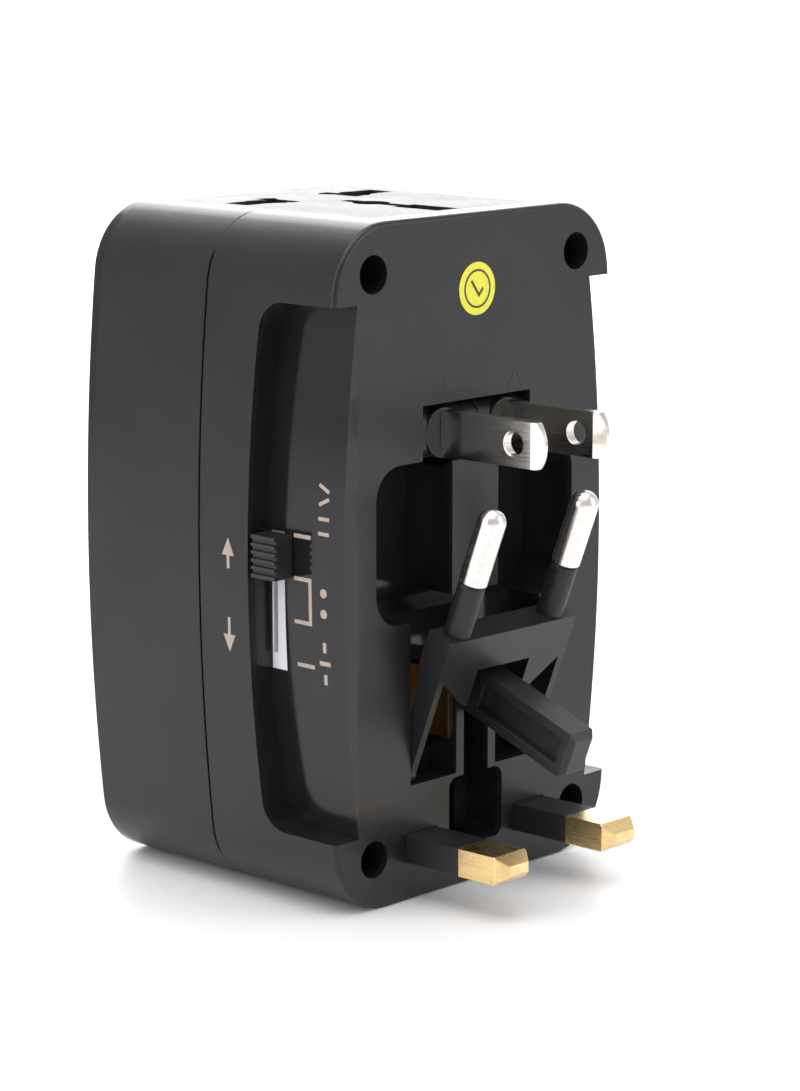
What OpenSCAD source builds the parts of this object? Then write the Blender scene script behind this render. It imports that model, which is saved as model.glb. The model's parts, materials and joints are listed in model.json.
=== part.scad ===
// Universal travel adapter with a universal outlet on top, four charging ports on
// the front and fold-out plug pins on the rear.
// +Z is up. X runs along the width and +Y points out of the plug face.
// The origin is the middle of the base, on the plane where the two shells meet.

/* [Body] */
// Height of the body
body_h = 93.2; // [92.8:0.1:95]
// Half of the body width at mid height
half_mid = 29.75; // [29.6:0.05:30.5]
// Half of the body width at the top and the bottom
half_end = 26.55; // [26.4:0.05:27]
// Depth of the front shell
front_d = 22.6; // [22.4:0.1:24]
// Depth of the rear shell
rear_d = 23.8; // [23.8:0.1:25]
// Corner radius of the body, seen from the front
corner_r = 10; // [9:0.5:10.5]
// Wall thickness of the shells
wall = 2; // [1.9:0.05:2.1]
// Width of the rim around the front panel
rim_w = 2; // [1.8:0.1:2.4]

/* [Side recess] */
// Half of the body width at the recess floor, at mid height
recess_mid = 26.1; // [25.9:0.1:26.4]
// Lower end of the side recess
recess_lo = 10.6; // [10.4:0.1:11.5]
// Upper end of the side recess
recess_hi = 82.6; // [81.5:0.1:82.8]
// Distance from the parting plane to the front edge of the recess
recess_y = 9.4; // [9.2:0.1:9.5]

/* [Switch] */
// Travel of the selector switch from the first to the third position
switch_travel = 11.7; // [11:0.1:11.9]
// Height of the switch knob
knob_h = 5.9; // [5.6:0.1:6]

/* [US and AU blades] */
// Half of the distance between the two blades
us_half_gap = 6.35; // [6.35:0.01:6.4]
// Height of the blade hinge above the base
us_z = 63.9; // [63.8:0.1:64]
// Length of a blade outside the body
us_len = 17.9; // [16:0.1:18]

/* [EU pins] */
// Half of the distance between the two round pins
eu_half_gap = 9.5; // [9.4:0.05:9.55]
// Radius of a round pin
eu_pin_r = 2; // [1.9:0.05:2]
// Length of a round pin
eu_len = 19; // [18:0.5:19]
// Angle of the pin carrier out of its recess
eu_open = 21; // [0:1:21]

/* [UK pins] */
// Half of the distance between the line and neutral pins
uk_half_gap = 11.1; // [11.05:0.05:11.15]
// Height of the line and neutral pins above the base
uk_z = 7.43; // [7.3:0.01:7.6]
// Length of the line and neutral pins outside the body
uk_len = 17.9; // [17:0.1:18.5]
// Length of the insulating sleeve outside the body
uk_sleeve_len = 9.6; // [9:0.1:10]
// Height of the earth prong hinge above the base
earth_z = 29.7; // [29.6:0.05:29.7]
// Distance from the earth prong hinge to its tip
earth_len = 24; // [23.5:0.1:24]

/* [Charging ports] */
// Distance from the middle of the body to the middle of a port
usb_x = 11.46; // [11:0.02:12]
// Height of the upper row of ports
usb_z_hi = 31.43; // [31.3:0.01:32]
// Height of the lower row of ports
usb_z_lo = 23.01; // [22.5:0.01:23.2]

/* [Hidden] */

$fn = 64;

// Body
front_y = -front_d;
rear_y = rear_d;
rear_out = rear_y + 1; // where the cuts through the plug face end
mid_z = body_h / 2;
front_wall = 2.4;
rear_wall = 2.2;
panel_depth = 1.3;
side_arc_r = (mid_z * mid_z) / (2 * (half_mid - half_end));
// Angle and place of the point where a corner arc runs into a side arc
corner_angle = asin((mid_z - corner_r) / (side_arc_r - corner_r));
corner_x = half_mid - side_arc_r
    + sqrt(pow(side_arc_r - corner_r, 2) - pow(mid_z - corner_r, 2));
// Lip of the front shell in its groove in the rear shell
lip_inset = 1.05;
lip_h = 1.2;
lip_fit = 0.1;

// Screws
screw_x = 20.4;
screw_z = [7.2, body_h - 6.8];
board_screw_x = 17;
board_screw_z = [44, 58];

// Charging board and ports
board_y = front_y + 15; // rear face of the board
board_t = 1.6;
support_end = -9.3; // rear end of the posts and ribs under the board
port_w = 13.95;
port_h = 6.33;

// Indicator lights
led_x = 18.84;
led_z = 79.36;
led_tilt = 35;
led_frame = [3, 6.8];
led_lens = [1.7, 4.8];

// Outlet
outlet_floor = body_h - wall;
socket_y = -8; // row of the line and neutral holes
socket_half_x = 16.5;
socket_front = -19;
socket_rear = 19.5;

// Hinges of the folding pins
axle_r = 1;
us_sink = 4; // from the plug face in to the blade hinge
us_y = rear_y - us_sink;
eu_y = rear_y - 1.5;
eu_z = 17.5;
eu_pin_hole_y = 13.8;
eu_half_x = 13; // half of the pin carrier's width
earth_y = rear_y - 3.7;

// Switch
knob_z = 48.5;
slot_lo = 32.3;
slot_hi = 51.6;

black = [0.07, 0.07, 0.08];
dark = [0.13, 0.13, 0.14];
steel = [0.78, 0.78, 0.8];
nickel = [0.82, 0.8, 0.76];
brass = [0.83, 0.66, 0.32];
white = [0.92, 0.92, 0.94];
board_green = [0.1, 0.35, 0.2];

// -------------------------------------------------------------------- helpers
function span(middle, half) = [middle - half, middle + half];

// Points on an arc, without the first and last skip points.
function arc_points(x, z, radius, from, to, steps, skip = 0) =
    [for (k = [skip:steps - skip]) let (angle = from + k * (to - from) / steps)
        [x + radius * cos(angle), z + radius * sin(angle)]];

// Right half of the body outline, moved inward by inset.
function right_side(inset) = let (radius = corner_r - inset) concat(
    arc_points(corner_x, corner_r, radius, -90, -corner_angle, 12),
    arc_points(half_mid - side_arc_r, mid_z, side_arc_r - inset,
        -corner_angle, corner_angle, 16, skip = 1),
    arc_points(corner_x, body_h - corner_r, radius, corner_angle, 90, 12));

function flip(points) =
    [for (k = [len(points) - 1:-1:0]) [-points[k][0], points[k][1]]];

// Outline of a bar that narrows over its last bevel to end_half, lying along X.
function taper(length, half, bevel, end_half) = [
    [0, -half], [length - bevel, -half], [length, -end_half],
    [length, end_half], [length - bevel, half], [0, half]];

// A polygon from its right half.
module mirrored_polygon(right) polygon(concat(right, flip(right)));

module outline(inset = 0) mirrored_polygon(right_side(inset));

module rounded_box(width, height, radius) translate([-width / 2, -height / 2]) union() {
    translate([radius, 0]) square([width - 2 * radius, height]);
    translate([0, radius]) square([width, height - 2 * radius]);
    for (x = [radius, width - radius], y = [radius, height - radius])
        translate([x, y]) circle(radius);
}

// A 2D shape in X and Z, drawn out along Y.
module prism(y_from, y_to) translate([0, y_to, 0]) rotate([90, 0, 0])
    linear_extrude(y_to - y_from) children();

// A 2D shape in Y and Z, drawn out to half_x on both sides.
module side_prism(half_x) translate([-half_x, 0, 0]) rotate([90, 0, 90])
    linear_extrude(2 * half_x) children();

// The taper outline lying along Y, drawn out up and down.
module plan_taper(thickness, points) linear_extrude(thickness, center = true)
    polygon([for (point = points) [-point[1], point[0]]]);

// A box from its [low, high] ranges.
module box(x, y, z) translate([x[0], y[0], z[0]])
    cube([x[1] - x[0], y[1] - y[0], z[1] - z[0]]);

module mid_box(half_x, y, z) box(span(0, half_x), y, z);

// Round bars along X and along Y.
module bar_x(half_x, radius, y = 0, z = 0) translate([-half_x, y, z])
    rotate([0, 90, 0]) cylinder(r = radius, h = 2 * half_x);

module bar_y(y_from, y_to, radius, x = 0, z = 0) translate([x, y_from, z])
    rotate([-90, 0, 0]) cylinder(r = radius, h = y_to - y_from);

// Places
module at_pair(x) for (side = [-1, 1]) translate([side * x, 0, 0]) children();

module both_sides() for (flipped = [0, 1]) mirror([flipped, 0, 0]) children();

module at_screws() for (side = [-1, 1], z = screw_z)
    translate([side * screw_x, 0, z]) children();

module at_board_screws() for (side = [-1, 1], z = board_screw_z)
    translate([side * board_screw_x, 0, z]) children();

module at_leds_2d() for (side = [-1, 1]) translate([side * led_x, led_z])
    rotate(side * -led_tilt) children();

module at_ports() for (side = [-1, 1], z = [usb_z_lo, usb_z_hi])
    translate([side * usb_x, front_y, z]) children();

module at_ports_2d() for (side = [-1, 1], z = [usb_z_lo, usb_z_hi])
    translate([side * usb_x, z]) children();

module port_opening() rounded_box(port_w, port_h, 0.4);

module outlet_cut() mid_box(socket_half_x, [socket_front, socket_rear],
    [outlet_floor - 0.2, body_h + 1]);

// ---------------------------------------------------------------- front shell
module front_housing() color(black) difference() {
    union() {
        difference() {
            prism(front_y, 0) outline();
            prism(front_y + front_wall, 1) outline(wall);
        }
        // lip
        difference() {
            prism(-1, lip_h) outline(lip_inset);
            prism(-2, 2) outline(wall);
        }
        // screw bosses
        intersection() {
            prism(front_y + 1, 0) outline(1);
            at_screws() bar_y(front_y + 1, 0, 3.8);
        }
        // ribs and posts under the board
        at_pair(22.6) mid_box(0.7, [front_y + 1, support_end], [13, 40]);
        at_board_screws() bar_y(front_y + 1, support_end, 2);
    }
    prism(front_y - 1, front_y + panel_depth) outline(rim_w);
    at_screws() bar_y(-12, 1, 1.5);
    at_board_screws() bar_y(-16, -9, 0.8);
    at_ports() prism(-1, 4) port_opening();
    prism(front_y - 1, front_y + 1.8) at_leds_2d() square(led_frame, center = true);
    prism(front_y - 1, front_y + 4) at_leds_2d()
        square(led_lens + [0.06, 0.06], center = true);
    outlet_cut();
}

// ----------------------------------------------------------------- rear shell
recess_floor_r = 238;
recess_wall = 1.9;
us_cut_half = 10.9;
us_cut_r = 4.1;
eu_cut_half = eu_half_x + 0.2;
eu_cut_y = rear_y - 5.2; // floor of the recess for the pin carrier
eu_rib_x = 4; // the recess starts here, beside the earth prong

// The recess floor in X and Z, moved inward by inset.
function recess_half(z) = recess_mid - pow(z - mid_z, 2) / (2 * recess_floor_r);
function recess_curve(z_from, z_to, inset = 0) =
    [for (k = [0:24]) let (z = z_from + k * (z_to - z_from) / 24)
        [recess_half(z) - inset, z]];

// The side recess, seen from the side.
module recess_shape() offset(r = 4) offset(delta = -4) polygon(concat(
    [for (k = [0:12]) let (z = recess_lo + k * (recess_hi - recess_lo) / 12)
        [recess_y + 1.1 * pow((z - mid_z) / 36, 2), z]],
    [[40, recess_hi], [40, recess_lo]]));

module recess_cut() both_sides() intersection() {
    prism(0, 40) polygon(concat(recess_curve(3, body_h - 3), [[45, body_h - 3], [45, 3]]));
    translate([30, 0, 0]) side_prism(15) recess_shape();
}

module pocket_shape(grow = 0) translate([0, 49.6])
    rounded_box(39.9 + 2 * grow, 21.8 + 2 * grow, 4.6 + grow);

// The outer wall, narrower inside the side recesses.
module rear_shell() difference() {
    prism(0, rear_y) outline();
    prism(-1, 7.5) outline(wall);
    prism(7, rear_y - rear_wall) intersection() {
        outline(wall);
        mirrored_polygon(recess_curve(0, body_h, recess_wall));
    }
}

// Solid stock inside the shell for the screws, the pins and the switch.
module rear_bosses() intersection() {
    prism(0, rear_y - 0.5) outline(0.8);
    union() {
        at_screws() bar_y(1.4, rear_y, 4.1);
        prism(rear_y - 10.5, rear_y) pocket_shape(1.2);
        mid_box(14.9, [rear_y - 10.2, rear_y], [14.6, 40]);
        mid_box(6.7, [rear_y - 8.6, rear_y], [4.2, 17]);
        bar_x(14, 5.6, us_y, us_z);
        mid_box(14, [us_y - 0.1, rear_y], span(us_z, 5.6));
        at_pair(uk_half_gap) prism(rear_y - 6.5, rear_y)
            translate([0, uk_z]) rounded_box(8.6, 6.2, 0.6);
        box([23.2, 25.3], [8.6, 18], [27, 57]);
    }
}

// Folding pocket, with the rib between the blades left standing, and blade hinge.
module blade_cut() {
    difference() {
        prism(rear_y - 9, rear_out) pocket_shape();
        mid_box(4.67, [rear_y - 12, rear_y - 0.25], [41.4, 61]);
    }
    bar_x(us_cut_half, us_cut_r, us_y, us_z);
    mid_box(us_cut_half, [us_y, rear_out], span(us_z, us_cut_r));
    // room under the hinge for each blade
    at_pair(us_half_gap) intersection() {
        bar_x(3.7, 5.25, us_y, us_z);
        mid_box(20, [rear_y - 14, rear_out], [us_z - 6, us_z]);
    }
    bar_x(13, axle_r + 0.02, us_y, us_z);
}

// Recess for the pin carrier, with its hinge holes.
module eu_cut() {
    mid_box(eu_cut_half, [eu_cut_y, rear_out], [33, 40]);
    both_sides() {
        box([eu_rib_x, eu_cut_half], [eu_cut_y, rear_out], [16.1, 34]);
        box([eu_rib_x, 11.6], [rear_y - 8.6, rear_y - 5], [19, 32]);
    }
    at_pair(eu_pin_hole_y) bar_x(0.8, 0.82, eu_y, eu_z);
}

// Channel for the earth prong, with the finger pocket at its lower end.
module earth_cut() {
    mid_box(2.5, [rear_y - 7.3, rear_out], [5.5, earth_z]);
    bar_x(2.5, 3.55, earth_y, earth_z);
    mid_box(2.5, [earth_y, rear_out], [20, earth_z + 3.4]);
    mid_box(4.1, [rear_y - 0.45, rear_out], [28, 33.1]);
    mid_box(4.1, [earth_y - 3.7, rear_out], [32.7, 34]);
    bar_x(4.2, axle_r + 0.02, earth_y, earth_z);
    prism(rear_y - 6.3, rear_out) translate([0, 10.55]) rounded_box(10.9, 10.1, 1.6);
}

module rear_housing() color(black) difference() {
    union() {
        rear_shell();
        rear_bosses();
    }
    // groove for the lip
    prism(-1, lip_h + lip_fit) outline(lip_inset - lip_fit);
    recess_cut();
    at_screws() {
        bar_y(-1, 7, 1.6);
        bar_y(6.2, rear_out, 2.6);
    }
    blade_cut();
    eu_cut();
    at_pair(uk_half_gap) mid_box(3.25, [10, rear_out], span(uk_z, 2.05));
    earth_cut();
    // switch slot
    box([20, 40], [recess_y + 0.2, recess_y + 3.35], [slot_lo, slot_hi]);
    outlet_cut();
}

// ----------------------------------------------------------------- front face
trim_slope = 37; // of the plate's sides, from the vertical
trim_half = 16.3;
trim_top = body_h - rim_w;
trim_corner_r = 3.4;
trim_over = 10; // how far the triangle runs on above the plate
notch_r = 1.6;

// The groove where the lower part of the front panel bends: [x, z].
hump_points = [
    [-40, -3], [-26.5, 5.6], [-7.2, 16.4], [-3.4, 17.5], [0, 17.8],
    [3.4, 17.5], [7.2, 16.4], [26.5, 5.6], [40, -3], [0, -20]];

// Triangle of the trim plate, moved outward by grow and cut off at height top.
module trim_shape(grow, top) intersection() {
    translate([-30, 0]) square([60, top]);
    offset(r = grow + trim_corner_r) offset(delta = -trim_corner_r) polygon([
        [-trim_half - trim_over * tan(trim_slope), trim_top + trim_over],
        [trim_half + trim_over * tan(trim_slope), trim_top + trim_over],
        [0, trim_top - trim_half / tan(trim_slope)]]);
}

// The two notches in the sides of the front panel.
module side_notches() for (side = [-1, 1])
    offset(r = notch_r) offset(delta = -notch_r)
        polygon([[side * 19.1, 50.8], [side * 34, 88], [side * 34, 15.6]]);

module front_panel() color(dark) difference() {
    prism(front_y + 0.1, front_y + panel_depth) difference() {
        outline(rim_w + 0.08);
        trim_shape(1.7, body_h);
        side_notches();
        at_leds_2d() square(led_frame, center = true);
        at_ports_2d() port_opening();
        // small hole between the ports
        translate([0.46, 27.5]) circle(0.65);
    }
    prism(front_y - 1, front_y + 0.4) difference() {
        offset(r = 0.9) polygon(hump_points);
        offset(r = -0.9) polygon(hump_points);
    }
}

module trim_plate() color([0.16, 0.19, 0.2])
    prism(front_y + 0.3, front_y + panel_depth) trim_shape(0, trim_top - 0.1);

module led_lenses() color([0.95, 0.72, 0.74])
    prism(front_y + 1.5, front_y + 3.4) at_leds_2d() square(led_lens, center = true);

led_base_y = 7; // depth of the base of an LED behind the front face

module leds() color([0.9, 0.3, 0.3]) for (side = [-1, 1])
    translate([side * led_x, front_y, led_z]) union() {
        bar_y(4.2, led_base_y, 1.5);
        translate([0, 4.9, 0]) sphere(1.45);
        bar_y(6.4, led_base_y, 1.8);
    }

module led_boards() color(board_green) at_pair(led_x)
    mid_box(2.4, [front_y + led_base_y, front_y + 8.2], [led_z - 6, led_z + 3]);

// ------------------------------------------------------------- charging ports
port_end = 13.3; // depth of the rear end of a port behind the front face
tongue_top = -0.01;

// Contact strip in a port: [depth behind the front face, height].
usb_contact_points = [
    [2.4, tongue_top], [11.4, tongue_top], [11.4, 0.2], [5.6, 0.2],
    [4.6, 0.4], [3.9, 0.4], [2.9, 0.16], [2.4, 0.16]];

module usb_shells() color(steel) at_ports() prism(0.5, port_end) difference() {
    rounded_box(13.14, 5.74, 0.5);
    rounded_box(12.5, 5.12, 0.25);
}

module usb_tongues() color(white) at_ports() union() {
    mid_box(5.55, [1.7, 12.4], [-1.85, tongue_top]);
    mid_box(6.15, [11.4, port_end], span(0, 2.46));
}

module usb_contacts() color(brass) at_ports() for (x = [-3.5, -1, 1, 3.5])
    translate([x, 0, 0]) side_prism(0.5) polygon(usb_contact_points);

// ------------------------------------------------------------- charging board
transformer_z = 50;

// Capacitors: [x, z, radius, height above the board].
capacitor_sizes = [[-15, 52, 4, 12], [-15, 36, 3.15, 10], [12.5, 22, 2.5, 8]];

module usb_board() color(board_green) difference() {
    mid_box(22, [board_y - board_t, board_y], [14, 62]);
    at_board_screws() bar_y(board_y - 3, board_y + 1, 1.1);
}

module board_screws() color(steel) at_board_screws() difference() {
    union() {
        bar_y(front_y + 8, board_y + 0.5, 0.75);
        bar_y(board_y + 0.02, board_y + 1.1, 1.6);
    }
    translate([0, board_y + 1, 0]) cube([0.5, 0.8, 4], center = true);
}

module transformer() color([0.85, 0.75, 0.2]) union() {
    for (y = [board_y, board_y + 10]) mid_box(8, [y, y + 3], span(transformer_z, 8));
    mid_box(6.6, [board_y, board_y + 13], span(transformer_z, 6.6));
}

module capacitors() color([0.15, 0.2, 0.4]) for (size = capacitor_sizes)
    bar_y(board_y, board_y + size[3], size[2], size[0], size[1]);

module control_chips() color([0.1, 0.1, 0.1]) {
    box([-9, -4], [board_y, board_y + 1.5], [30, 34]);
    box([-2, 3], [board_y, board_y + 1.5], [20, 26]);
}

module choke_coil() color([0.6, 0.35, 0.15]) translate([5, board_y, 34]) difference() {
    bar_y(0, 4.5, 4.2);
    bar_y(-1, 6, 1.8);
}

// --------------------------------------------------------------------- outlet
blade_slot = [1.9, 7.4];
socket_low = 71.5; // underside of the socket block
contact_x = 9.9;
tail_x = 11;
fuse_y = -14.6;
fuse_z = 67;
fuse_r = 2.5;
wire_y = -6.75;

// The holes of one side of the outlet, seen from above.
module outlet_hole(side) translate([0, socket_y]) {
    translate([side * 11.1, 0]) square([6.8, 4.4], center = true);
    translate([side * 9.5, 0]) circle(2.55);
    translate([side * 6.35, 0]) square(blade_slot, center = true);
    translate([side * 6.9, 0]) rotate(side * -30) square(blade_slot, center = true);
}

module earth_hole() translate([0, socket_y]) {
    translate([0, 22.2]) square([4.4, 8.4], center = true);
    translate([0, 11.9]) circle(2.6);
    translate([0, 10.5]) square(blade_slot, center = true);
    translate([0, 14]) square([2.2, 12], center = true);
}

module socket_panel() color(black) difference() {
    mid_box(socket_half_x - 0.1, [socket_front + 0.1, socket_rear - 0.1],
        [outlet_floor + 0.1, body_h]);
    translate([0, 0, outlet_floor - 1]) linear_extrude(5) {
        outlet_hole(-1);
        outlet_hole(1);
        earth_hole();
    }
}

module socket_block() color([0.2, 0.2, 0.2]) difference() {
    mid_box(16.2, [-18.5, 19.3], [socket_low, outlet_floor + 0.1]);
    at_pair(contact_x) mid_box(5.6, span(socket_y, 4.4), [73.5, body_h]);
    at_pair(tail_x) mid_box(1.6, span(socket_y, 0.6), [70, 75]);
    mid_box(3, [-2.4, 18.6], [70, body_h]);
}

// A clamp of two leaves with a tail through the bottom of the block.
module socket_contact(side) color(brass) {
    translate([side * contact_x, 0, 0]) difference() {
        mid_box(5, span(socket_y, 2.6), [73.6, 89]);
        mid_box(6, span(socket_y, 2.05), [74.2, 90]);
    }
    translate([side * tail_x, 0, 0]) mid_box(1.4, span(socket_y, 0.4), [65, 73.7]);
}

module socket_contact_line() socket_contact(1);
module socket_contact_neutral() socket_contact(-1);

module fuse() color([0.85, 0.85, 0.82]) bar_x(10, fuse_r, fuse_y, fuse_z);

module fuse_clips() color(brass) at_pair(8) difference() {
    mid_box(1.8, span(fuse_y, 3.2), [63.8, socket_low - 0.1]);
    bar_x(12, fuse_r + 0.05, fuse_y, fuse_z);
    mid_box(12, span(fuse_y, 2), [60, 66]);
}

// A wire that runs down to low_z and then forward to the board's rear face.
module wire(x, low_z) union() {
    bar_y(board_y + 0.02, wire_y + 0.1, 0.7, x, low_z);
    translate([x, wire_y, low_z - 1]) cylinder(r = 0.85, h = socket_low - 0.1 - low_z + 1);
}

module mains_wires() color([0.7, 0.1, 0.1]) {
    wire(11, 60);
    wire(-11, 60.4);
}

// ---------------------------------------------------------- US and AU blades
blade_half = 0.75; // half of a blade's thickness
blade_tip = us_len + us_sink; // from the hinge
blade_end_r = 4.4;
disc_y = [2.92, 3.7]; // outer face plate of a disc, from the hinge

// A barrel that turns on an axle, with a round seat for each blade's disc.
module us_carriage() color(black) translate([0, us_y, us_z]) difference() {
    union() {
        bar_x(10.7, 3.8);
        at_pair(1.3) bar_x(0.4, 3.95);
    }
    bar_x(12, axle_r + 0.06);
    at_pair(us_half_gap) {
        bar_y(2.85, 7.85, 3.52);
        bar_y(1.5, 6.5, 2.46);
        bar_y(1.25, 2.1, 2.96);
    }
}

module us_axle() color(steel) bar_x(12.9, axle_r, us_y, us_z);

// A disc with a neck and a foot, slotted for the root of a blade.
module us_disc(side) color(black) translate([side * us_half_gap, us_y, us_z])
    difference() {
        union() {
            bar_y(disc_y[0], disc_y[1], 3.45);
            bar_y(1.4, 3.3, 2.4);
            bar_y(1.32, 2.02, 2.9);
        }
        mid_box(blade_half + 0.02, [1.6, 5.6], span(0, 1.82));
    }

module us_disc_left() us_disc(1);
module us_disc_right() us_disc(-1);

module us_blade(side) color(nickel) translate([side * us_half_gap, us_y, us_z])
    difference() {
        union() {
            mid_box(blade_half, [1.62, 3.8], span(0, 1.8));
            intersection() {
                side_prism(blade_half) intersection() {
                    translate([3.74, -3.15]) square([blade_tip - 3.74, 6.3]);
                    translate([blade_tip - blade_end_r, 0]) union() {
                        circle(blade_end_r);
                        translate([-20, -4]) square([20, 8]);
                    }
                }
                plan_taper(10, taper(blade_tip + 0.1, blade_half, 2.2, 0.3));
            }
        }
        bar_x(2, 1.6, y = 16.8);
    }

module us_blade_left() us_blade(1);
module us_blade_right() us_blade(-1);

// -------------------------------------------------------------------- EU pins
// Heights and depths of the folded carrier, measured from its hinge
eu_front = 1.09;
eu_deep = 4.19;
eu_top = 21.04;
bar_low = 15.6;
ear_x = 12.4;
eu_pin_y = -1.05;
eu_core_r = 1.3;
eu_bore_r = 1.33;
eu_neck_len = 7.8; // sleeved part of a pin
pin_bevel = 0.3;
sleeve_r = eu_pin_r - 0.1;
sleeve_len = eu_neck_len - 0.06;

// Right half of the plate on the carrier's face: [x, z].
eu_plate_points = [[eu_half_x, eu_top - 1], [eu_half_x, 15.4], [12, 14.8],
    [6.3, 10.2], [5.3, 9.9]];

// Drawn folded, about the hinge, and opened by eu_open.
module eu_place() translate([0, eu_y, eu_z]) rotate([-eu_open, 0, 0]) children();

module eu_carrier() color(black) eu_place() difference() {
    union() {
        mid_box(eu_half_x, [eu_front - eu_deep, eu_front], [bar_low, eu_top]);
        prism(eu_front - 1.2, eu_front) difference() {
            mirrored_polygon(eu_plate_points);
            translate([-5.3, 0]) square([10.6, bar_low]);
        }
        // side arms down to the hinge
        at_pair(ear_x) {
            side_prism(0.6) polygon([[eu_front, eu_top], [eu_front, 0],
                [-eu_front, 0], [eu_front - eu_deep, eu_top]]);
            bar_x(0.6, 1.2);
        }
    }
    bar_x(15, 0.86);
    at_pair(eu_half_gap) translate([0, eu_pin_y, bar_low])
        cylinder(r = eu_bore_r, h = 20);
}

module eu_pins() color(nickel) eu_place() for (side = [-1, 1])
    translate([side * eu_half_gap, eu_pin_y, 0]) union() {
        translate([0, 0, bar_low + 0.1])
            cylinder(r = eu_core_r, h = eu_top + 8 - bar_low);
        translate([0, 0, eu_top + eu_neck_len])
            cylinder(r1 = eu_pin_r - pin_bevel, r2 = eu_pin_r, h = pin_bevel);
        translate([0, 0, eu_top + eu_neck_len + pin_bevel])
            cylinder(r = eu_pin_r, h = eu_len - eu_neck_len - pin_bevel - eu_pin_r);
        translate([0, 0, eu_top + eu_len - eu_pin_r]) sphere(eu_pin_r);
    }

module eu_sleeves() color(black) eu_place() for (side = [-1, 1])
    translate([side * eu_half_gap, eu_pin_y, eu_top + 0.02]) difference() {
        union() {
            cylinder(r = sleeve_r, h = sleeve_len - pin_bevel);
            translate([0, 0, sleeve_len - pin_bevel])
                cylinder(r1 = sleeve_r, r2 = sleeve_r - 0.15, h = pin_bevel);
        }
        translate([0, 0, -1]) cylinder(r = eu_bore_r, h = 12);
    }

module eu_hinge_pins() color(steel) at_pair(13.15) bar_x(1.35, 0.8, eu_y, eu_z);

module eu_contacts() color(brass) both_sides() union() {
    box([4.05, 4.5], [rear_y - 8.4, rear_y - 1.2], [21, 30.5]);
    box([4.05, 10.5], [rear_y - 8.55, rear_y - 8.1], [20, 31]);
}

// -------------------------------------------------------------------- UK pins
// Half sizes in X and Z
uk_tip = [3.175, 1.975];
uk_core = [2.5, 1.3];
uk_bore = uk_core + [0.02, 0.02];
uk_sleeve = [3.15, 1.95];
uk_back = 8.8; // depth of the carriage inside the plug face
carriage_t = 3.4;

module at_uk_pins() for (side = [-1, 1])
    translate([side * uk_half_gap, rear_y, uk_z]) children();

module pin_box(half, y) mid_box(half[0], y, span(0, half[1]));

module uk_pins() color(brass) at_uk_pins() union() {
    pin_box(uk_core, [-uk_back - 3, uk_sleeve_len + 0.5]);
    intersection() {
        pin_box(uk_tip, [uk_sleeve_len, uk_len]);
        side_prism(4) polygon(taper(uk_len, uk_tip[1], 1.9, 0.7));
        plan_taper(5, taper(uk_len, uk_tip[0], 1.6, 1.9));
    }
}

module uk_sleeves() color(black) at_uk_pins() difference() {
    pin_box(uk_sleeve, [-uk_back + 0.02, uk_sleeve_len - 0.02]);
    pin_box(uk_bore, [-uk_back - 1, uk_sleeve_len + 1]);
}

module uk_carriage() color(black) translate([0, rear_y, uk_z]) difference() {
    union() {
        mid_box(15, [-uk_back - carriage_t, -uk_back], span(0, 2.2));
        at_pair(uk_half_gap) mid_box(3.9, [-uk_back - carriage_t, -uk_back], [-3.4, 3]);
    }
    at_pair(uk_half_gap) pin_box(uk_bore, [-uk_back - 3.1, 0]);
}

// ---------------------------------------------------------------- earth prong
prong_r = 3.35;
prong_half = 2.25;

// The dummy earth prong, drawn level and lowered by the same angle as the carrier.
module earth_prong() color(black) translate([0, earth_y, earth_z])
    rotate([-eu_open, 0, 0]) difference() {
        union() {
            bar_x(prong_half, prong_r);
            intersection() {
                mid_box(prong_half, [0, earth_len], span(0, prong_r));
                side_prism(4) polygon(taper(earth_len, prong_r, 0.9, prong_r - 0.8));
                plan_taper(10, taper(earth_len, 3, 2, prong_half - 0.5));
            }
        }
        bar_x(4, axle_r + 0.06);
        // hollows in both sides
        at_pair(prong_half) mid_box(1.25, [7, earth_len - 2], span(0, 1.9));
    }

module earth_hinge_pin() color(steel) bar_x(3.95, axle_r, earth_y, earth_z);

// --------------------------------------------------------------------- switch
stem_y = [recess_y + 0.6, recess_y + 1.15];
guide_x = [23.35, 25.45];
guide_z = [slot_lo + 0.1, slot_hi - 0.1];
contact_rows = [5.6, 8.4]; // y of the two rows of contacts and pads
grip_pitch = 1.05;

module switch_knob() color(black) union() {
    difference() {
        box([26.25, 29.7], [recess_y + 0.5, recess_y + 5], span(knob_z, knob_h / 2));
        // grip grooves
        for (k = [-2:2]) box([29.3, 30], [recess_y, recess_y + 6],
            span(knob_z + k * grip_pitch, 0.26));
    }
    box([23.3, 26.3], stem_y, span(knob_z, 1.8));
}

// A white frame that fills the slot. The knob's stem runs in its slit.
module switch_guide() color(white) union() {
    difference() {
        box(guide_x, [recess_y + 0.26, recess_y + 3.25], guide_z);
        box([23, 26], [recess_y + 0.5, recess_y + 1.25],
            [knob_z - switch_travel - 2.1, knob_z + 2.1]);
    }
    box([22.1, guide_x[1]], [recess_y + 1.35, recess_y + 3.25], guide_z);
    box([22.1, 23.1], [recess_y + 1.35, recess_y + 3.6], [29, 55]);
}

module switch_slider() color([0.85, 0.85, 0.8]) union() {
    box([20, 23], [4.5, stem_y[1]], span(knob_z, 4));
    box([22.5, 23.28], stem_y, span(knob_z, 2.4));
}

module switch_contacts() color(brass) for (y = contact_rows) union() {
    box([19.6, 19.98], span(y, 0.6), span(knob_z, 3.4));
    for (end = [-1, 1]) box([18.75, 19.8], span(y, 0.6), span(knob_z + end * 2.9, 0.4));
}

module switch_base() color([0.45, 0.3, 0.15])
    box([17, 18.2], [3, rear_y - 10.52], [28, 56]);

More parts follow.
